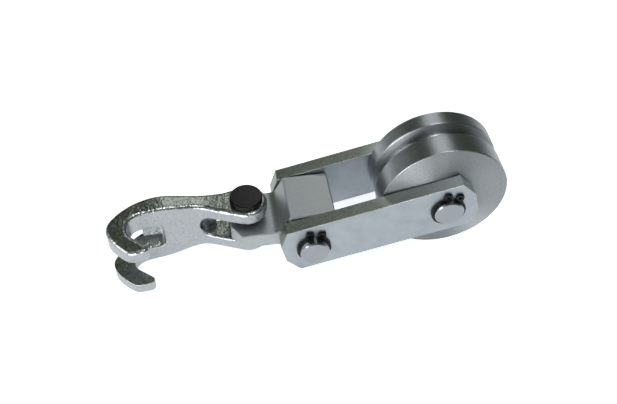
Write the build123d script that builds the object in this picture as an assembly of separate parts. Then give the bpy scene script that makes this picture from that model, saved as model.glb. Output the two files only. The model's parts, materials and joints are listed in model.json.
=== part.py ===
"""Roller block with a twin-claw chain hook, in millimetres, one STEP file per piece.

Two flat-bar cheeks hold a grooved sheave at one end and a link block at the other.
The link block carries a flat tongue, and a forged hook with two claws is forked over it.
The assembly lies on a table as it would be put down: the sheave's rim and the lower
corners of the cheeks touch the table, so the cheeks slope, and the hook lies level.

Working frame: X runs from the hook to the sheave, Y from the front cheek to the rear one,
Z up from the table, with the link pin's axis over the origin. The finished pieces are then
moved so that the origin is at the middle of the foot of the whole object's box.
"""
import math
import os

from build123d import *

# ---------------------------------------------------------------- driving dimensions
# Cheeks: two lengths of flat bar on edge, with sawn corners
bar_height = 40.0            # width of the flat bar, which stands on edge
bar_thickness = 9.8
bar_edge_round = 0.6         # rolled edge of the bar
pin_spacing = 93.3           # link pin to sheave pin
link_end_margin = 21.0       # link pin's axis to the end of the bar
sheave_end_margin = 20.0     # sheave pin's axis to the other end
corner_cut_along = 7.2       # sawn corner, along the bar
corner_cut_across = 12.4     # sawn corner, across the bar
cheek_gap = 40.4             # clear width between the cheeks

# Cheek pins, one for the sheave and one for the link block
pin_diameter = 20.0
link_pin_stand_out = 6.3     # each end of the link pin beyond its cheek
sheave_pin_stand_out = 4.2   # the same for the sheave's pin
pin_end_chamfer = 0.7
pin_hole_clearance = 0.05    # radial, pin to cheek
running_clearance = 0.05     # radial, pin to whatever turns on it

# Circlips on the cheek pins, with their grooves
clip_thickness = 1.5
clip_groove_depth = 0.5      # radial
clip_back_width = 2.6        # radial width opposite the opening
clip_horn_width = 1.8        # radial width beside the lugs
clip_lug_height = 5.8        # from the groove floor to the top of a lug
clip_lug_width = 5.4
clip_opening = 2.8           # gap between the lugs
clip_seat_gap = 0.15         # clip to cheek, and clip to groove wall on the outer side
clip_fit = 0.03              # radial, clip to groove floor
link_clip_turn = 19.0        # degrees that the link pin's clips lean towards the sheave
sheave_clip_turn = 24.0      # the same for the sheave pin's clips

# Sheave
sheave_diameter = 88.0
sheave_side_gap = 1.0        # sheave to cheek, each side
groove_width = 10.4          # at the rim
groove_depth = 8.5
groove_floor_radius = 4.0
groove_offset = 2.6          # groove's middle, towards the rear cheek
groove_lip_round = 1.2
sheave_edge_round = 0.7
bush_wall = 3.0
bush_stand_out = 0.4         # bush beyond the sheave's face, each side, so that it takes the rub

# Link block and its tongue
block_height = 39.0
block_side_gap = 1.0         # block to cheek, each side
block_to_hook_end = 14.7     # link pin's axis to the block's end towards the hook
block_to_sheave_end = 16.5   # link pin's axis to the block's other end
block_edge_chamfer = 0.7
tongue_thickness = 12.0
tongue_slope_run = 6.4       # foot of the sloped shoulder beyond the block's end
tongue_shoulder_round = 7.0
tongue_neck = 13.0           # block's end to the rim of the hook's eye
tongue_past_pin = 12.4       # hook pin's axis to the tongue's end
tongue_corner_along = 6.5    # cut corner of the tongue, along it
tongue_corner_across = 10.2  # and across it
tongue_edge_chamfer = 0.6

# Hook pin: a headed pin, held below by a circlip
hook_pin_diameter = 14.0
hook_pin_head_diameter = 22.0
hook_pin_head_height = 4.0
hook_pin_head_round = 0.9
hook_pin_end = 2.4           # pin beyond its circlip
hook_clip_thickness = 1.0
hook_clip_back_width = 2.1
hook_clip_horn_width = 1.5
hook_clip_lug_height = 3.9
hook_clip_lug_width = 3.6

# Forged hook, in its own frame: origin on the pin's axis at mid height, nose towards -X
eye_radius = 13.8
eye_height = 38.4            # over both tines of the fork
nose_height = 50.0           # over both claws
tip_height = 42.0            # over both claws at their tips
fork_play = 5.4              # tongue in the fork, up and down
fork_rest_gap = 0.3          # what is left of it under the tongue, with the hook lying down
fork_swing_gap = 3.6         # tongue's corner to the full height of the fork, as the hook swivels
flare_start = 28.0           # pin's axis to where the arm starts to grow taller
flare_end = 56.0             # and to where it has the nose's height
nose_reach = 93.2            # pin's axis to the nose
throat_reach = 79.3          # pin's axis to the throat's floor
tip_reach = 62.6             # pin's axis to the claws' tips
claw_front = 36.2            # centre line to the front of the claws
arm_rear = 9.4               # centre line to the rear of the arm
neck_reach = 14.5            # pin's axis to where the arm's rear swells into the eye
neck_rear = 10.4             # centre line to the rear of the arm there
neck_round = 12.0
arm_waist = 1.2              # centre line to the front of the arm at its waist
arm_mouth = 6.2              # centre line to the front of the arm at the throat
waist_round = 26.0
tip_round = 3.0
chain_slot_root = 57.5       # pin's axis to the inner end of the slot between the claws
chain_slot_top = 9.5         # mid height up to the slot's roof, in the arm
chain_slot_lip = 11.9        # mid height down to its floor, at the front of the arm
chain_slot_floor = 8.0       # and at the rear, where the floor has risen
chain_slot_mouth = 24.0      # between the claws' tips
chain_slot_round = 3.0
chain_web_end = 72.5         # pin's axis to where the web behind the slot stops
chain_web_front = 3.0        # centre line to the front of that web
fork_web_front = 5.6         # centre line to the front of the web behind the fork's root
fork_web_gap = 1.4           # tongue's corner to the end of that web, as the hook swivels
forged_round = 2.8           # edges of the forging
fork_edge_round = 2.0        # lips of the fork, in front
slot_edge_round = 0.6        # lips of the chain slot, in front

# ---------------------------------------------------------------- sizes that follow
pin_radius = pin_diameter / 2
sheave_radius = sheave_diameter / 2
sheave_width = cheek_gap - 2 * sheave_side_gap
block_width = cheek_gap - 2 * block_side_gap
cheek_outside = cheek_gap / 2 + bar_thickness

# The bar slopes until the sheave's rim and the corners at the link end are level:
# foot * sin(slope) + bar_height / 2 * cos(slope) = sheave_radius
foot = pin_spacing + link_end_margin - corner_cut_along
slope = math.asin(sheave_radius / math.hypot(foot, bar_height / 2)) - math.atan2(bar_height / 2, foot)
link_pin_height = sheave_radius - pin_spacing * math.sin(slope)

hook_pin_x = -(block_to_hook_end + tongue_neck + eye_radius)
fork_slot = tongue_thickness + fork_play
hook_lift = fork_play / 2 - fork_rest_gap       # hook's mid height above the tongue's
tongue_corner_reach = math.hypot(block_width / 2, tongue_past_pin - tongue_corner_along)
fork_root = tongue_corner_reach + fork_swing_gap + fork_slot / 2


# ---------------------------------------------------------------- helpers
def slab(outline, y_low, y_high):
    """A face drawn with X across and Z up, made solid from y_low to y_high."""
    return Pos(0, y_high, 0) * extrude(Plane.XZ * outline, y_high - y_low, dir=(0, -1, 0))


def bar(outline, x_low, x_high):
    """A face drawn with Y across and Z up, made solid from x_low to x_high."""
    return Pos(x_low, 0, 0) * extrude(Plane.YZ * outline, x_high - x_low, dir=(1, 0, 0))


def in_cheeks(shape):
    """Moves a piece from the cheeks' own frame, with the link pin at its origin, to its slope."""
    return Pos(0, 0, link_pin_height) * Rot(0, -math.degrees(slope), 0) * shape


def in_link(shape):
    """Moves a piece drawn about the link pin, level, to the pin's height."""
    return Pos(0, 0, link_pin_height) * shape


def in_hook(shape):
    """Moves a piece from the hook's own frame to its place on the tongue."""
    return Pos(hook_pin_x, 0, link_pin_height + hook_lift) * shape


def tangent_point(point, radius, side):
    """Where a line from the point touches the circle about the origin, on its +1 or -1 side."""
    angle = math.atan2(point[1], point[0]) + side * math.acos(radius / math.hypot(*point))
    return (radius * math.cos(angle), radius * math.sin(angle))


# ---------------------------------------------------------------- cheeks, pins and circlips
def cheek_plate(side):
    """One bar: side is -1 for the front and 1 for the rear."""
    left, right, top = -link_end_margin, pin_spacing + sheave_end_margin, bar_height / 2
    quarter = [(left, top - corner_cut_across), (left + corner_cut_along, top),
               (right - corner_cut_along, top), (right, top - corner_cut_across)]
    outline = Polygon(*quarter, *[(x, -z) for x, z in reversed(quarter)], align=None)
    y_low, y_high = sorted((side * cheek_gap / 2, side * cheek_outside))
    plate = slab(outline, y_low, y_high)
    plate = fillet(plate.edges().filter_by(Axis.Y, reverse=True), bar_edge_round)
    for x in (0, pin_spacing):
        plate -= Pos(x, 0, 0) * slab(Circle(pin_radius + pin_hole_clearance), y_low, y_high)
    return in_cheeks(plate)


def cheek_pin(x, stand_out):
    """A plain pin through both cheeks, with a groove for a circlip outside each."""
    half_length = cheek_outside + stand_out
    pin = slab(Circle(pin_radius), -half_length, half_length)
    pin = chamfer(pin.edges().filter_by(GeomType.CIRCLE), pin_end_chamfer)
    groove = slab(Circle(pin_radius + 1) - Circle(pin_radius - clip_groove_depth),
                  0, clip_thickness + 2 * clip_seat_gap)
    pin -= Pos(0, cheek_outside, 0) * groove
    pin -= Pos(0, -cheek_outside - clip_thickness - 2 * clip_seat_gap, 0) * groove
    return in_cheeks(Pos(x, 0, 0) * pin)


def circlip(groove_radius, back_width, horn_width, lug_height, lug_width, thickness):
    """An external retaining ring in the XZ plane, opening upwards, from y = 0 to its thickness."""
    inner = groove_radius + clip_fit
    outer = inner + (back_width + horn_width) / 2
    lug_top = groove_radius + lug_height
    outline = Pos(0, (horn_width - back_width) / 2) * Circle(outer)
    for side in (-1, 1):
        lug_x = side * (clip_opening + lug_width) / 2
        lug = Pos(lug_x, lug_top / 2) * Rectangle(lug_width, lug_top)
        lug = fillet(lug.vertices().sort_by(Axis.Y)[-2:], lug_width * 0.3)
        outline += lug - Pos(lug_x, lug_top - lug_height * 0.45) * Circle(lug_width * 0.2)
    outline -= Circle(inner)
    outline -= Pos(0, lug_top) * Rectangle(clip_opening, 2 * lug_top)
    return slab(outline, 0, thickness)


def cheek_clip(x, side, turn):
    """The circlip outside one cheek, on the pin at x, with its opening leaned by turn degrees."""
    clip = circlip(pin_radius - clip_groove_depth, clip_back_width, clip_horn_width,
                   clip_lug_height, clip_lug_width, clip_thickness)
    y = cheek_outside + clip_seat_gap if side > 0 else -cheek_outside - clip_seat_gap - clip_thickness
    return in_cheeks(Pos(x, y, 0) * Rot(0, turn, 0) * clip)


# ---------------------------------------------------------------- sheave
def sheave():
    half = sheave_width / 2
    wheel = slab(Circle(sheave_radius), -half, half)
    wheel = fillet(wheel.edges().filter_by(GeomType.CIRCLE), sheave_edge_round)
    floor_centre = sheave_radius - groove_depth + groove_floor_radius
    cutter = Pos(floor_centre, groove_offset) * Circle(groove_floor_radius)
    cutter += Polygon(
        (floor_centre, groove_offset - groove_floor_radius),
        (sheave_radius, groove_offset - groove_width / 2),
        (sheave_radius + 1, groove_offset - groove_width / 2),
        (sheave_radius + 1, groove_offset + groove_width / 2),
        (sheave_radius, groove_offset + groove_width / 2),
        (floor_centre, groove_offset + groove_floor_radius), align=None)
    wheel -= revolve(cutter, Axis.Y)
    lips = [e for e in wheel.edges().filter_by(GeomType.CIRCLE)
            if abs(e.radius - sheave_radius) < 0.01
            and abs(abs(e.center().Y - groove_offset) - groove_width / 2) < 0.01]
    wheel = fillet(lips, groove_lip_round)
    wheel -= slab(Circle(pin_radius + running_clearance + bush_wall), -half, half)
    return in_cheeks(Pos(pin_spacing, 0, 0) * wheel)


def sheave_bush():
    half = sheave_width / 2 + bush_stand_out
    bore = pin_radius + running_clearance
    bush = slab(Circle(bore + bush_wall) - Circle(bore), -half, half)
    return in_cheeks(Pos(pin_spacing, 0, 0) * bush)


# ---------------------------------------------------------------- link block
def link_block():
    """A square block bored for the link pin, with a flat tongue bored for the hook pin."""
    half_width, top, tongue_top = block_width / 2, block_height / 2, tongue_thickness / 2
    block = slab(Pos((block_to_sheave_end - block_to_hook_end) / 2, 0)
                 * Rectangle(block_to_sheave_end + block_to_hook_end, block_height),
                 -half_width, half_width)
    block = chamfer(block.edges(), block_edge_chamfer)
    tongue_end = hook_pin_x - tongue_past_pin
    tongue_plan = Polygon(
        (0, -half_width), (0, half_width),
        (tongue_end + tongue_corner_along, half_width),
        (tongue_end, half_width - tongue_corner_across),
        (tongue_end, -half_width + tongue_corner_across),
        (tongue_end + tongue_corner_along, -half_width), align=None)
    tongue = extrude(tongue_plan, tongue_top, both=True)
    tongue = chamfer(tongue.edges().filter_by(Axis.Z, reverse=True), tongue_edge_chamfer)
    block += tongue
    # Sloped shoulders, above and below, run from the block's end down to the tongue
    inset = block_edge_chamfer
    for side in (-1, 1):
        foot_x = -block_to_hook_end - tongue_slope_run
        run = FilletPolyline(
            (-block_to_hook_end, side * (top - inset)), (foot_x, side * tongue_top),
            (foot_x - tongue_shoulder_round, side * tongue_top), radius=tongue_shoulder_round)
        back = Polyline(run @ 1, (-block_to_hook_end + 1, side * tongue_top),
                        (-block_to_hook_end + 1, side * (top - inset)), run @ 0)
        block += slab(make_face([*run.edges(), *back.edges()]), -half_width + inset, half_width - inset)
    block -= slab(Circle(pin_radius + running_clearance), -half_width, half_width)
    bore = Cylinder(hook_pin_diameter / 2 + running_clearance, tongue_thickness + 1)
    return in_link(block - Pos(hook_pin_x, 0, 0) * bore)


# ---------------------------------------------------------------- hook and its pin
def hook_plan():
    """The hook seen from above: a round eye, a bent arm, and a claw curled to the front."""
    rear_bend = (-flare_end + 4, arm_rear)
    waist = (-flare_start - 5, -arm_waist)
    mouth = (-throat_reach + 11, -arm_mouth)
    neck = (-neck_reach, neck_rear)
    eye_rear = tangent_point(neck, eye_radius, -1)
    eye_front = tangent_point(waist, eye_radius, 1)
    tip = (-tip_reach, -claw_front + 1.6)
    claw_corner = (-tip_reach - 10, -claw_front)
    inner_start = (-throat_reach + 3, -claw_front + 13)

    rear = FilletPolyline(eye_rear, neck, rear_bend, radius=neck_round)
    bow = Spline(
        rear_bend, (-nose_reach + 19.3, 4.9), (-nose_reach + 5.2, -5.4), (-nose_reach, -14.0),
        (-nose_reach + 3.4, -25.2), (-nose_reach + 10.5, -claw_front + 2.7), claw_corner,
        tangents=[rear % 1, Vector(tip[0] - claw_corner[0], tip[1] - claw_corner[1], 0)])
    point = FilletPolyline(claw_corner, tip, inner_start, radius=tip_round)
    wall = FilletPolyline(mouth, waist, eye_front, radius=waist_round)
    throat = Spline(inner_start, (-throat_reach, -claw_front / 2 + 2.4), mouth,
                    tangents=[point % 1, wall % 0])
    eye = ThreePointArc(eye_front, (eye_radius, 0), eye_rear)
    edges = []
    for line in (rear, bow, point, throat, wall, eye):
        edges += line.edges()
    return make_face(edges)


def banded(path):
    """The face between a path above the axis and its mirror image below it."""
    upper = FilletPolyline(*path, radius=60)
    lower = mirror(upper, Plane.XZ)
    return make_face([*upper.edges(), *lower.edges(), Line(upper @ 0, lower @ 0), Line(upper @ 1, lower @ 1)])


def web(x_low, x_high, y_front):
    """The room behind y_front that a cut through the hook leaves solid, from x_low to x_high."""
    middle = ((x_low + x_high) / 2, (y_front + eye_radius + 2) / 2)
    return Pos(*middle) * Box(x_high - x_low, eye_radius + 2 - y_front, nose_height)


def claw_hook():
    nose = nose_height / 2
    body = extrude(hook_plan(), nose + 1, both=True)
    side_profile = banded([(eye_radius + 1, eye_height / 2), (-flare_start, eye_height / 2),
                           (-flare_end, nose), (-nose_reach - 5, nose)])
    front_profile = banded([(eye_radius + 1, nose), (-claw_front / 3, nose),
                            (-claw_front - 1, tip_height / 2)])
    body &= slab(side_profile, -claw_front - 5, eye_radius + 5)
    body &= bar(front_profile, -nose_reach - 5, eye_radius + 5)
    rims = [e for e in body.edges()
            if abs(e.center().Z) > tip_height / 4
            and not (e.geom_type == GeomType.LINE
                     and (abs((e % 0.5).Y) > 0.999 or abs((e % 0.5).X) > 0.9999))
            and abs((e % 0.5).Z) < 0.9]
    body = fillet(rims, forged_round)

    fork = slab(Pos(-fork_root + fork_slot / 2, 0) * Circle(fork_slot / 2)
                + Pos((eye_radius + 1 - fork_root + fork_slot / 2) / 2, 0)
                * Rectangle(eye_radius + 1 + fork_root - fork_slot / 2, fork_slot),
                -eye_radius - 1, eye_radius + 1)
    fork -= web(-fork_root - 1, -tongue_corner_reach - fork_web_gap, fork_web_front)
    slot_profile = Polygon(
        (eye_radius, chain_slot_top), (-arm_mouth, chain_slot_top),
        (-claw_front - 1, chain_slot_mouth / 2), (-claw_front - 1, -chain_slot_mouth / 2),
        (-arm_mouth, -chain_slot_lip), (chain_web_front, -chain_slot_floor),
        (eye_radius, -chain_slot_floor), align=None)
    chain_slot = bar(slot_profile, -nose_reach - 5, -chain_slot_root)
    root = chain_slot.faces().sort_by(Axis.X)[-1]
    chain_slot = fillet(root.edges().filter_by(GeomType.LINE).filter_by(Axis.Z, reverse=True),
                        chain_slot_round)
    chain_slot -= web(-chain_web_end, -chain_slot_root + 1, chain_web_front)
    for cut, edge_round in ((fork, fork_edge_round), (chain_slot, slot_edge_round)):
        uncut, body = body, body - cut
        lips = [e for e in new_edges(uncut, cut, combined=body) if e.center().Y < 0]
        body = fillet(lips, edge_round)
    body -= Cylinder(hook_pin_diameter / 2 + pin_hole_clearance, nose_height)
    return in_hook(body)


def hook_pin():
    """Headed pin from above, through the fork and the tongue, grooved below for its circlip."""
    top, bottom = eye_height / 2, -eye_height / 2
    radius = hook_pin_diameter / 2
    length = eye_height + 2 * clip_seat_gap + hook_clip_thickness + hook_pin_end
    shank = Pos(0, 0, top - length / 2) * Cylinder(radius, length)
    shank = chamfer(shank.edges().sort_by(Axis.Z)[:1], pin_end_chamfer)
    groove_height = hook_clip_thickness + 2 * clip_seat_gap
    shank -= (Pos(0, 0, bottom - groove_height / 2)
              * (Cylinder(radius + 1, groove_height) - Cylinder(radius - clip_groove_depth, groove_height)))
    head = Pos(0, 0, top + hook_pin_head_height / 2) * Cylinder(
        hook_pin_head_diameter / 2, hook_pin_head_height)
    head = fillet(head.edges().filter_by(GeomType.CIRCLE).sort_by(Axis.Z)[-1:], hook_pin_head_round)
    return in_hook(shank + head)


def hook_pin_circlip():
    clip = circlip(hook_pin_diameter / 2 - clip_groove_depth, hook_clip_back_width, hook_clip_horn_width,
                   hook_clip_lug_height, hook_clip_lug_width, hook_clip_thickness)
    flat = Rot(-90, 0, 0) * clip       # its thickness now runs down from z = 0
    return in_hook(Pos(0, 0, -eye_height / 2 - clip_seat_gap) * flat)


# ---------------------------------------------------------------- assembly
def build():
    pieces = {
        "sheave": sheave(),
        "sheave_bush": sheave_bush(),
        "link_block": link_block(),
        "claw_hook": claw_hook(),
        "hook_pin": hook_pin(),
        "hook_pin_circlip": hook_pin_circlip(),
    }
    for end, x, stand_out, turn in (("link", 0, link_pin_stand_out, link_clip_turn),
                                    ("sheave", pin_spacing, sheave_pin_stand_out, sheave_clip_turn)):
        pieces[f"{end}_pin"] = cheek_pin(x, stand_out)
        for name, side in (("front", -1), ("rear", 1)):
            pieces[f"{end}_pin_{name}_circlip"] = cheek_clip(x, side, turn)
    for name, side in (("front", -1), ("rear", 1)):
        pieces[f"{name}_cheek_plate"] = cheek_plate(side)

    boxes = [piece.bounding_box() for piece in pieces.values()]
    low = [min(getattr(box.min, axis) for box in boxes) for axis in "XYZ"]
    high = [max(getattr(box.max, axis) for box in boxes) for axis in "XYZ"]
    foot_of_box = Vector((low[0] + high[0]) / 2, (low[1] + high[1]) / 2, low[2])
    return {name: Pos(-foot_of_box) * piece for name, piece in pieces.items()}, foot_of_box


pieces, foot_of_box = build()
os.makedirs("parts", exist_ok=True)
for name, piece in pieces.items():
    export_step(piece, f"parts/{name}.step")

sheave_axis = in_cheeks(Pos(pin_spacing, 0, 0) * Vertex(0, 0, 0)).center() - foot_of_box
link_axis = Vector(0, 0, link_pin_height) - foot_of_box
hook_axis = Vector(hook_pin_x, 0, link_pin_height + hook_lift) - foot_of_box
print(f"slope {math.degrees(slope):.3f} degrees, link pin {link_pin_height:.3f} above the table")
for name, point in (("sheave axis", sheave_axis), ("link axis", link_axis), ("hook axis", hook_axis)):
    print(f"{name}: {point.X:.3f}, {point.Y:.3f}, {point.Z:.3f}")
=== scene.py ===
# %% [markdown]
# # A roller block with a twin-claw chain hook
# The object is a piece of recovery rigging. Two flat bars, the cheeks, hold a grooved sheave at one end
# and a square link block at the other, and a forged hook with two claws swivels on the block's tongue.
# The CAD model already has every shape and every joint. This lesson gives it its looks: zinc-plated steel
# as drawn bar, turned wheel, milled block and forging, ground pins, a bronze bush and blackened clips.
#
# The box round them is kept here, before anything is added, so that the finished model can be compared
# with it at the end.

# %% Load the CAD frame
import json
import math

import bpy
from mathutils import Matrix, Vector


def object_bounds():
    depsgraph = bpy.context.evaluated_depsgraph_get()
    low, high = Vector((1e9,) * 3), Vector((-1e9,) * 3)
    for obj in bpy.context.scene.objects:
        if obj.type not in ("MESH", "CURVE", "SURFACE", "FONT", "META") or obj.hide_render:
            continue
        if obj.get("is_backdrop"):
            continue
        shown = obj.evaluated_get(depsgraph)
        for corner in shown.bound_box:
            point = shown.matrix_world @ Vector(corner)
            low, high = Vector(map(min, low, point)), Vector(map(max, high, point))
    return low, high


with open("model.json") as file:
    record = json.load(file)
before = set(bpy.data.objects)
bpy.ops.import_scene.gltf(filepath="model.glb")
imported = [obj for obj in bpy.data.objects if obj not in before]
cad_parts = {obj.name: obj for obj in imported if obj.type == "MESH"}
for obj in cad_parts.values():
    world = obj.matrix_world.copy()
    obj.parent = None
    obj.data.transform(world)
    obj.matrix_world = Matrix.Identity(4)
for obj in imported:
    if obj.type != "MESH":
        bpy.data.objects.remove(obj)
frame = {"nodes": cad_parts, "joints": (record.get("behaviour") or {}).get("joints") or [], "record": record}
cad_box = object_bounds()
nodes = frame["nodes"]
joints = {joint["name"]: joint for joint in frame["joints"]}
mm = 0.001

link_axis = Vector(joints["link_swing"]["pos_m"])
sheave_axis = Vector(joints["sheave_spin"]["pos_m"])
size = cad_box[1] - cad_box[0]
middle = (cad_box[0] + cad_box[1]) / 2
print("pieces:", len(nodes), "size in mm:", [round(length / mm, 1) for length in size])

# %% [markdown]
# ## Camera
# A long, low object shows best from above and a little to one side, where the top, the side and the end
# of each piece can be told apart. A lens of about 50 mm keeps the near hook from looking too large beside
# the far sheave. A camera could be turned by hand, but here it is aimed by a direction, which
# to_track_quat makes into a rotation with the horizon level. Its place is measured from the link pin,
# the point that the whole object is drawn from.

# %% Camera
camera_from_link_pin = Vector((-60.7, -382.5, 439.7)) * mm
look = Vector((0.1071, 0.6630, -0.7411))
lens_mm = 48.87
sensor_mm = 36.0
nearest_seen = 10 * mm

camera = bpy.data.objects.new("camera", bpy.data.cameras.new("camera"))
camera.data.lens = lens_mm
camera.data.sensor_width = sensor_mm
camera.data.clip_start = nearest_seen
camera.location = link_axis + camera_from_link_pin
camera.rotation_euler = look.to_track_quat("-Z", "Y").to_euler()
bpy.context.scene.collection.objects.link(camera)
bpy.context.scene.camera = camera
bpy.context.scene.view_settings.view_transform = "Standard"
print("camera is", round((camera.location - middle).length / mm), "mm from the object's middle")

# %% [markdown]
# ## Colours and nodes
# Every material below is a small tree of nodes. One helper turns the sRGB hex value that a colour picker
# gives into the linear numbers that a shader works in. Another adds a node, with its own settings, and
# with each socket either set to a value or linked to another node's output.
#
# Most sockets are picked by name. A Mix node has several sockets of the same name, one for each kind of
# data, so those are picked by number, and the numbers get names here.

# %% Colour and node helpers
mix_share = 0
plain_a, plain_b, plain_out = 2, 3, 0
tint_a, tint_b, tint_out = 6, 7, 2
mix_tints = {"data_type": "RGBA"}


def linear(hex_colour):
    """An sRGB hex value such as "8F958E" as linear red, green, blue and alpha."""
    channels = [int(hex_colour[i:i + 2], 16) / 255 for i in (0, 2, 4)]
    return [c / 12.92 if c <= 0.04045 else ((c + 0.055) / 1.055) ** 2.4 for c in channels] + [1.0]


def add(tree, kind, settings=None, sockets=None):
    """Adds a node. Each socket gets a value, or is linked to the output that it is given."""
    node = tree.nodes.new("ShaderNode" + kind)
    for name, value in (settings or {}).items():
        setattr(node, name, value)
    for name, value in (sockets or {}).items():
        if isinstance(value, bpy.types.NodeSocket):
            tree.links.new(value, node.inputs[name])
        else:
            node.inputs[name].default_value = value
    return node


def new_material(name, **constants):
    """A material with a Principled shader, whose plain numbers are set on its own sockets."""
    material = bpy.data.materials.new(name)
    material.use_nodes = True
    shader = material.node_tree.nodes["Principled BSDF"]
    for socket, value in constants.items():
        shader.inputs[socket.replace("_", " ")].default_value = value
    return material, material.node_tree, shader


print("8F958E is", [round(c, 3) for c in linear("8F958E")])

# %% [markdown]
# ## Grain and finish
# All the steel here gets its life from three things that vary from place to place: its tint, its
# roughness and a slight relief. They could each have a pattern of their own, but on real metal they go
# together, so one function joins them up: a tint, a pattern from 0 to 1 spread over a range of roughness,
# and a bump of a stated height.
#
# Most patterns are noise, whose scale is worked out from the size of the grain. Its raw values crowd
# round a half, so the part between 0.3 and 0.7 is stretched to run from 0 to 1.

# %% Grain and finish helpers
noise_low, noise_high = 0.3, 0.7


def grain(tree, place, grain_mm, detail=3.0, roughness=0.6):
    """Cloudy noise whose blobs are about grain_mm across, from 0 to 1."""
    noise = add(tree, "TexNoise", None, {
        "Vector": place, "Scale": 1 / (grain_mm * mm), "Detail": detail, "Roughness": roughness})
    stretched = add(tree, "MapRange", None, {
        "Value": noise.outputs["Fac"], "From Min": noise_low, "From Max": noise_high})
    return stretched.outputs["Result"]


def facing_sideways(tree, normal, starts, full, reaches=1.0):
    """From 0 to a value, as a surface turns to face along Y, to the front or to the rear."""
    along = add(tree, "SeparateXYZ", None, {"Vector": normal}).outputs["Y"]
    either_way = add(tree, "Math", {"operation": "ABSOLUTE"}, {0: along}).outputs["Value"]
    return add(tree, "MapRange", None, {
        "Value": either_way, "From Min": starts, "From Max": full, "To Max": reaches}).outputs["Result"]


def finish(tree, shader, tint, pattern, rough, relief, relief_mm, duller=None):
    """Joins a tint, a roughness from rough[0] to rough[1], and a bump relief_mm high to the shader."""
    dull = add(tree, "MapRange", None, {
        "Value": pattern, "To Min": rough[0], "To Max": rough[1]}).outputs["Result"]
    if duller:
        dull = add(tree, "Math", {"operation": "ADD"}, {0: dull, 1: duller}).outputs["Value"]
    bump = add(tree, "Bump", None, {"Height": relief, "Distance": relief_mm * mm})
    tree.links.new(tint, shader.inputs["Base Color"])
    tree.links.new(dull, shader.inputs["Roughness"])
    tree.links.new(bump.outputs["Normal"], shader.inputs["Normal"])


print("noise from", noise_low, "to", noise_high, "is stretched over the whole range")

# %% [markdown]
# ## Cheeks: cold-drawn flat bar, zinc plated
# The cheeks are sawn from bright flat bar and then plated. Their broad faces were drawn through a die, so
# they are smooth and take a soft bluish sheen with faint clouds. Their narrow edges and sawn ends are
# coarser: the plating there looks dark and olive, with specks that catch the light. Beside the sheave
# the edges are painted paler: a painted reflection of the sheave's pale side.
#
# Each face could be given a material of its own, but then faces would have to be picked by hand. One
# material serves the whole bar: the direction that the surface faces tells a face from an edge, and the
# distance from the sheave's axis tells where the painted reflection of the sheave goes. Real specks of
# plating are far finer than a millimetre, and are drawn coarser here, so that they show.

# %% Zinc-plated flat bar
cloud_mm = 14.0
zinc_speck_mm = 0.9
bar_relief_mm = 0.09
relief_left_on_faces = 0.06
# Painted reflection: these distances set where the paler tint, standing for the sheave mirrored in the
# edges, fades out.
sheave_reflection_within_mm, no_sheave_reflection_beyond_mm = 46, 56
strongest_sheave_reflection = 0.85


def zinc_flat_bar():
    # Drawn and plated bar: a soft blue-grey sheen on its faces, glittering olive on its edges.
    material, tree, shader = new_material("zinc_plated_flat_bar", Metallic=1.0)
    coordinates = add(tree, "TexCoord")
    place = coordinates.outputs["Object"]
    on_face = facing_sideways(tree, coordinates.outputs["Normal"], 0.75, 0.95)
    clouds = grain(tree, place, cloud_mm, 2.0)
    specks = grain(tree, place, zinc_speck_mm, 4.0, 0.75)
    # Painted reflection: edges near the sheave's axis are painted paler, standing for the sheave's pale side
    # mirrored in them.
    from_sheave = add(tree, "VectorMath", {"operation": "DISTANCE"}, {0: place, 1: sheave_axis})
    painted_sheave_reflection = add(tree, "MapRange", None, {
        "Value": from_sheave.outputs["Value"], "From Min": no_sheave_reflection_beyond_mm * mm,
        "From Max": sheave_reflection_within_mm * mm, "To Min": 0.0, "To Max": strongest_sheave_reflection}).outputs["Result"]

    plain_edge = add(tree, "Mix", mix_tints, {
        mix_share: specks, tint_a: linear("666C64"), tint_b: linear("B4B9B2")}).outputs[tint_out]
    # CDD3D0 is the painted reflection of the sheave on the edges near it.
    edge = add(tree, "Mix", mix_tints, {
        mix_share: painted_sheave_reflection, tint_a: plain_edge, tint_b: linear("CDD3D0")}).outputs[tint_out]
    face = add(tree, "Mix", mix_tints, {
        mix_share: clouds, tint_a: linear("9AA1A8"), tint_b: linear("A8AEB4")}).outputs[tint_out]
    tint = add(tree, "Mix", mix_tints, {mix_share: on_face, tint_a: edge, tint_b: face}).outputs[tint_out]
    smoothed = add(tree, "MapRange", None, {
        "Value": on_face, "To Min": 1.0, "To Max": relief_left_on_faces}).outputs["Result"]
    relief = add(tree, "Math", {"operation": "MULTIPLY"}, {0: specks, 1: smoothed}).outputs["Value"]
    finish(tree, shader, tint, on_face, (0.30, 0.40), relief, bar_relief_mm)
    return material


cheek_finish = zinc_flat_bar()
print(cheek_finish.name, "has", len(cheek_finish.node_tree.nodes), "nodes")

# %% [markdown]
# ## Sheave: turned steel, zinc plated
# The sheave, the pins and the bush were made on a lathe, which leaves fine rings round the axis. Light
# spreads across such rings and not along them, so a turned face shows a bright fan and a rim shows a
# bright bar. An anisotropic highlight does this. The Tangent node gives the direction round the axis, and
# a quarter turn makes the light spread across the rings.
#
# A wave texture would give rings too, but far too even. Here they are noise along one line: the distance
# from the axis plus the distance along it. So the same rings are right on the faces, on the rim and in
# the groove. The flat sides are a little duller than the rim. Real turning marks are about 0.2 mm apart,
# and are drawn coarser here, so that they show.

# %% Turned steel
quarter_turn = 0.25
away_from_y_axis = (1, 0, 1)


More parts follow.
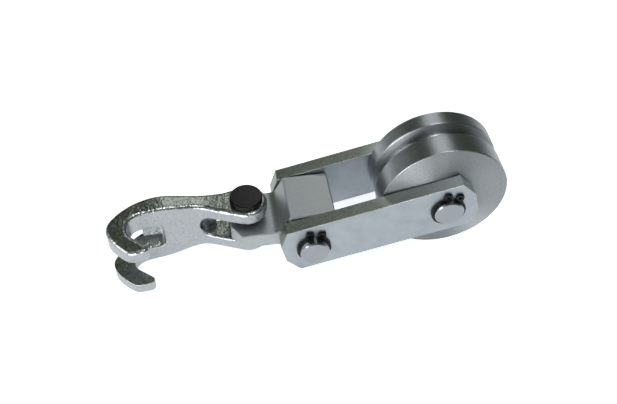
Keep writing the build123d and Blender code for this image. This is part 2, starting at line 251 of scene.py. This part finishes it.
def turned_steel(name, axis_point, dark, light, rough, ring_mm, relief_mm, spread, duller_sides, specked):
    material, tree, shader = new_material(
        name, Metallic=1.0, Anisotropic=spread, Anisotropic_Rotation=quarter_turn)
    coordinates = add(tree, "TexCoord")
    place = coordinates.outputs["Object"]
    from_axis = add(tree, "VectorMath", {"operation": "SUBTRACT"}, {0: place, 1: axis_point}).outputs[0]
    across = add(tree, "VectorMath", {"operation": "MULTIPLY"}, {0: from_axis, 1: away_from_y_axis})
    radius = add(tree, "VectorMath", {"operation": "LENGTH"}, {0: across.outputs[0]}).outputs["Value"]
    along = add(tree, "SeparateXYZ", None, {"Vector": from_axis}).outputs["Y"]
    walk = add(tree, "Math", {"operation": "ADD"}, {0: radius, 1: along}).outputs["Value"]
    rings = add(tree, "TexNoise", {"noise_dimensions": "1D"}, {
        "W": walk, "Scale": 1 / (ring_mm * mm), "Detail": 3.0, "Roughness": 0.7}).outputs["Fac"]
    specks = grain(tree, place, zinc_speck_mm, 4.0, 0.75)
    pattern = add(tree, "Mix", None, {
        mix_share: specked, plain_a: rings, plain_b: specks}).outputs[plain_out]

    on_side = facing_sideways(tree, coordinates.outputs["Normal"], 0.9, 0.98, duller_sides)
    tint = add(tree, "Mix", mix_tints, {
        mix_share: pattern, tint_a: linear(dark), tint_b: linear(light)}).outputs[tint_out]
    finish(tree, shader, tint, pattern, rough, pattern, relief_mm, duller=on_side)
    tangent = add(tree, "Tangent", {"direction_type": "RADIAL", "axis": "Y"})
    tree.links.new(tangent.outputs["Tangent"], shader.inputs["Tangent"])
    return material


# Zinc over turning marks: a pale, speckled grey with a broad bar of light on the rim.
sheave_finish = turned_steel(
    "zinc_plated_turned_sheave", sheave_axis, "7E8286", "B2B6BA", rough=(0.28, 0.42), ring_mm=0.9,
    relief_mm=0.045, spread=0.80, duller_sides=0.20, specked=0.6)
print(sheave_finish.name, "has", len(sheave_finish.node_tree.nodes), "nodes")

# %% [markdown]
# ## Pins and bush
# The two pins through the cheeks are ground to fit their holes, so they are smoother and shinier than the
# sheave. Their rings run round two different axes, so each has a material of its own. The bush is plain
# bronze, bored and faced, and only a thin ring of it can be seen, between the sheave and the cheeks. All
# three could be new materials, but they are turned steel again, with finer rings and less relief. Real
# grinding marks are finer still, and are drawn coarser here, so that they show.

# %% Ground pins and bronze bush
fine_relief_mm = 0.01
fine_specks = 0.35


def ground_pin(name, axis_point):
    # Ground steel: an even grey with a clear shine, and duller ends.
    return turned_steel(name, axis_point, "90949A", "A2A6AB", rough=(0.20, 0.30), ring_mm=0.5,
                        relief_mm=fine_relief_mm, spread=0.3, duller_sides=0.12, specked=fine_specks)


link_pin_finish = ground_pin("ground_link_pin", link_axis)
sheave_pin_finish = ground_pin("ground_sheave_pin", sheave_axis)
# Faced bronze: a warm brown line between two greys.
bush_finish = turned_steel(
    "faced_bronze_bush", sheave_axis, "7A5C34", "A98450", rough=(0.3, 0.4), ring_mm=0.4,
    relief_mm=fine_relief_mm, spread=0.4, duller_sides=0.0, specked=fine_specks)
for made in (link_pin_finish, sheave_pin_finish, bush_finish):
    print(made.name, "has", len(made.node_tree.nodes), "nodes")

# %% [markdown]
# ## Link block: milled steel, zinc plated
# The link block was sawn and milled from square bar. Its plating is paler and flatter than the bar's,
# with a faint straight grain from the cutter and a fine mottle from the plating bath. The cutter's marks
# could be cut into the mesh, but they are far finer than it. Noise does as well: when its coordinates are
# squeezed along one direction, each blob is drawn out into a streak. Real cutter marks are about 0.3 mm
# apart, and are drawn coarser here, so that they show.

# %% Milled block
cutter_slant = math.radians(12)
streak_squeeze = (0.12, 1.0, 1.0)
cutter_mark_mm = 0.8
mottle_mm = 1.4
milled_relief_mm = 0.05


def milled_block():
    # Milled and plated steel: pale and even, with no sharp reflections.
    material, tree, shader = new_material("zinc_plated_milled_block", Metallic=1.0)
    place = add(tree, "TexCoord").outputs["Object"]
    streaked = add(tree, "Mapping", None, {
        "Vector": place, "Rotation": (0, 0, cutter_slant), "Scale": streak_squeeze}).outputs["Vector"]
    cutter = grain(tree, streaked, cutter_mark_mm, 3.0, 0.7)
    mottle = grain(tree, place, mottle_mm, 4.0, 0.7)
    pattern = add(tree, "Mix", None, {mix_share: 0.5, plain_a: cutter, plain_b: mottle}).outputs[plain_out]
    tint = add(tree, "Mix", mix_tints, {
        mix_share: pattern, tint_a: linear("989DA0"), tint_b: linear("B8BDBE")}).outputs[tint_out]
    finish(tree, shader, tint, pattern, (0.40, 0.52), pattern, milled_relief_mm)
    return material


block_finish = milled_block()
print(block_finish.name, "has", len(block_finish.node_tree.nodes), "nodes")

# %% [markdown]
# ## Hook: forged, shot-blasted and zinc plated
# The hook came out of a hammer die with a scaly skin, was blasted with shot and then plated. The shot
# leaves shallow dents about a millimetre and a half across, and the die leaves longer, softer waves. On
# the rounded edges each dent turns a bit of the surface towards the lamp, so they glitter. On the flat
# sides it only turns towards more white floor, so they look smooth. Faces that point up get a darker,
# more olive tint: painted shade, standing for the dim room that the tops mirror.
#
# The dents could be modelled, but thousands of them would swamp the mesh. Smooth Voronoi cells have
# their shape, round hollows that run into each other, and a bump shows them well enough.

# %% Forged hook
die_wave_mm = 6.0
shot_dent_mm = 1.5
scale_patch_mm = 2.2
dents_in_waves = 0.45
forged_relief_mm = 0.36


def forged_hook():
    # Plated forging: a bright, bumpy grey that sparkles on its edges, with painted olive shade on top.
    material, tree, shader = new_material("zinc_plated_forging", Metallic=1.0)
    coordinates = add(tree, "TexCoord")
    place = coordinates.outputs["Object"]
    waves = grain(tree, place, die_wave_mm, 2.0)
    dents = add(tree, "TexVoronoi", {"feature": "SMOOTH_F1"}, {
        "Vector": place, "Scale": 1 / (shot_dent_mm * mm), "Smoothness": 0.8}).outputs["Distance"]
    relief = add(tree, "Mix", None, {
        mix_share: dents_in_waves, plain_a: waves, plain_b: dents}).outputs[plain_out]

    scale = grain(tree, place, scale_patch_mm, 5.0, 0.7)
    # Painted shade: faces that point up are given the darker, olive tint, standing for the dim room they
    # mirror.
    up = add(tree, "SeparateXYZ", None, {"Vector": coordinates.outputs["Normal"]}).outputs["Z"]
    painted_shade_on_top = add(tree, "MapRange", None, {"Value": up, "From Min": 0.80, "From Max": 0.98}).outputs["Result"]
    bright = add(tree, "Mix", mix_tints, {
        mix_share: scale, tint_a: linear("A0A4A8"), tint_b: linear("B2B5B9")}).outputs[tint_out]
    # 6E736D to A2A6A0 is the painted shade on the tops.
    painted_shade_top = add(tree, "Mix", mix_tints, {
        mix_share: scale, tint_a: linear("6E736D"), tint_b: linear("A2A6A0")}).outputs[tint_out]
    tint = add(tree, "Mix", mix_tints, {mix_share: painted_shade_on_top, tint_a: bright, tint_b: painted_shade_top}).outputs[tint_out]
    finish(tree, shader, tint, scale, (0.24, 0.36), relief, forged_relief_mm)
    return material


hook_finish = forged_hook()
print(hook_finish.name, "has", len(hook_finish.node_tree.nodes), "nodes")

# %% [markdown]
# ## Clips and hook pin: blackened steel
# The retaining rings are spring steel, blackened and oiled, and the hook pin has the same deep black. The
# oxide hides the metal, so this material isn't metallic: it is black under a low shine of oil, and shows
# mainly as a black shape with a thin bright line. A faint grain keeps it from looking like plastic. The
# real grain of the oxide is much finer, and is drawn coarser here, so that it shows.

# %% Blackened steel
oxide_grain_mm = 0.8
oxide_relief_mm = 0.004


def blackened_steel():
    # Oiled black oxide: deep black, with thin bright lines along its edges.
    material, tree, shader = new_material("blackened_spring_steel", Metallic=0.0, Specular_IOR_Level=0.2)
    pattern = grain(tree, add(tree, "TexCoord").outputs["Object"], oxide_grain_mm)
    tint = add(tree, "Mix", mix_tints, {
        mix_share: pattern, tint_a: linear("030303"), tint_b: linear("08090A")}).outputs[tint_out]
    finish(tree, shader, tint, pattern, (0.22, 0.32), pattern, oxide_relief_mm)
    return material


black_finish = blackened_steel()
print(black_finish.name, "has", len(black_finish.node_tree.nodes), "nodes")

# %% [markdown]
# ## The finishes go onto the pieces
# The record gives each CAD piece a slot that says what it is made of. Each piece could be given its
# finish by name, but the slots already sort most of them. Only three go by name: the link block, which
# shares its slot with the sheave, and the two pins, which share theirs but have rings round two axes.

# %% Materials on the CAD pieces
finish_of_slot = {
    "rolled_bar": cheek_finish,
    "machined_steel": sheave_finish,
    "forged_steel": hook_finish,
    "blackened_steel": black_finish,
    "bush_bronze": bush_finish,
}
finish_of_piece = {
    "link_block": block_finish,
    "link_pin": link_pin_finish,
    "sheave_pin": sheave_pin_finish,
}

for record_entry in frame["record"]["subparts"]:
    name, slot = record_entry["node"], record_entry["material_slot"]
    chosen = finish_of_piece[name] if name in finish_of_piece else finish_of_slot[slot]
    piece = nodes[name]
    piece.data.materials.clear()
    piece.data.materials.append(chosen)
    print(f"{name}: {chosen.name}")

# %% [markdown]
# ## Floor
# Upright faces of bright steel show nothing but the floor in front of them, so it gives the cheeks their
# pale look. Lamps alone could make a white sheet bright enough, but they would burn out the metal, so
# the sheet glows a little by itself. A Light Path node gives it one glow where it is seen straight, which
# keeps it a clean white, and a lower one where it lights the steel and is mirrored by it.

# %% Floor
floor_side = 6.0
gap_under_object = 0.02 * mm
glow_on_steel, glow_seen_straight = 0.58, 0.80

bpy.ops.mesh.primitive_plane_add(size=floor_side, location=(0, 0, cad_box[0].z - gap_under_object))
floor = bpy.context.object
floor.name = "floor"
# White card: matt, with a slightly blue glow.
card, card_tree, card_shader = new_material(
    "white_paper", Roughness=0.9, Base_Color=linear("F2F2F0"), Emission_Color=linear("F6FAFF"))
straight = add(card_tree, "LightPath").outputs["Is Camera Ray"]
glow = add(card_tree, "MapRange", None, {
    "Value": straight, "To Min": glow_on_steel, "To Max": glow_seen_straight})
card_tree.links.new(glow.outputs["Result"], card_shader.inputs["Emission Strength"])
floor.data.materials.append(card)
floor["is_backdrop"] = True
print("floor is", floor_side, "metres wide, at a height of", round(floor.location.z / mm, 2), "mm")

# %% [markdown]
# ## Room
# What lies flat shows what is above and behind it. In a white room every top would be as pale as the
# sides, and the shapes would be lost. So the steel sees a dim, slightly green room, which makes the tops
# and the edges a dark olive, and only where the room is seen straight is it a pale wall.

# %% Room
dim_strength, pale_strength = 0.4, 0.95

world = bpy.data.worlds.new("room")
world.use_nodes = True
bpy.context.scene.world = world
room = world.node_tree
seen = add(room, "LightPath").outputs["Is Camera Ray"]
dim = room.nodes["Background"]
dim.inputs["Color"].default_value = linear("828C80")
dim.inputs["Strength"].default_value = dim_strength
pale = add(room, "Background", None, {"Color": linear("F4F4F2"), "Strength": pale_strength})
both = add(room, "MixShader", None, {0: seen, 1: dim.outputs[0], 2: pale.outputs[0]})
room.links.new(both.outputs[0], room.nodes["World Output"].inputs["Surface"])
print("room strength is", dim_strength, "on the steel and", pale_strength, "seen straight")

# %% [markdown]
# ## Lamps
# Bright metal mirrors its lamps, so each lamp is placed for where it is mirrored. The key hangs almost
# overhead, and makes the glitter on rounded edges and the bar of light on the sheave's rim. The front
# card stands low at the front left and lights the sheave's side. The left fill opens the left flanks.
# The rear panel is what the flat tops of the block and the cheeks mirror. Sun or point lamps would give
# hard dots, so all are area lamps: the wider the lamp, the wider and softer its reflection.

# %% Lamps
def soft_box(name, direction, distance, width, height, watts):
    """An area lamp that faces the middle of the object from a direction."""
    lamp = bpy.data.objects.new(name, bpy.data.lights.new(name, "AREA"))
    lamp.data.shape = "RECTANGLE"
    lamp.data.size, lamp.data.size_y = width, height
    lamp.data.energy = watts
    lamp.location = middle + Vector(direction).normalized() * distance
    lamp.rotation_euler = (middle - lamp.location).to_track_quat("-Z", "Y").to_euler()
    bpy.context.scene.collection.objects.link(lamp)
    print(name, "at", [round(c, 2) for c in lamp.location], "metres,", watts, "watts")


soft_box("key", (0.20, -0.28, 0.95), distance=1.0, width=0.16, height=0.45, watts=3.0)
soft_box("front_card", (-0.42, -0.90, 0.16), distance=1.4, width=1.0, height=0.45, watts=12)
soft_box("left_fill", (-0.85, -0.25, 0.45), distance=1.2, width=0.5, height=0.7, watts=4)
soft_box("rear_panel", (0.17, 0.66, 0.735), distance=1.2, width=0.45, height=0.34, watts=1.3)

# %% [markdown]
# ## Compare and finish
# No piece was added or reshaped, so the box round what is shown should be the CAD model's box.

# %% Compare and finish
visual_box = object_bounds()
growth = (visual_box[1] - visual_box[0]) - size
print("grew by", [round(length / mm, 2) for length in growth], "mm")
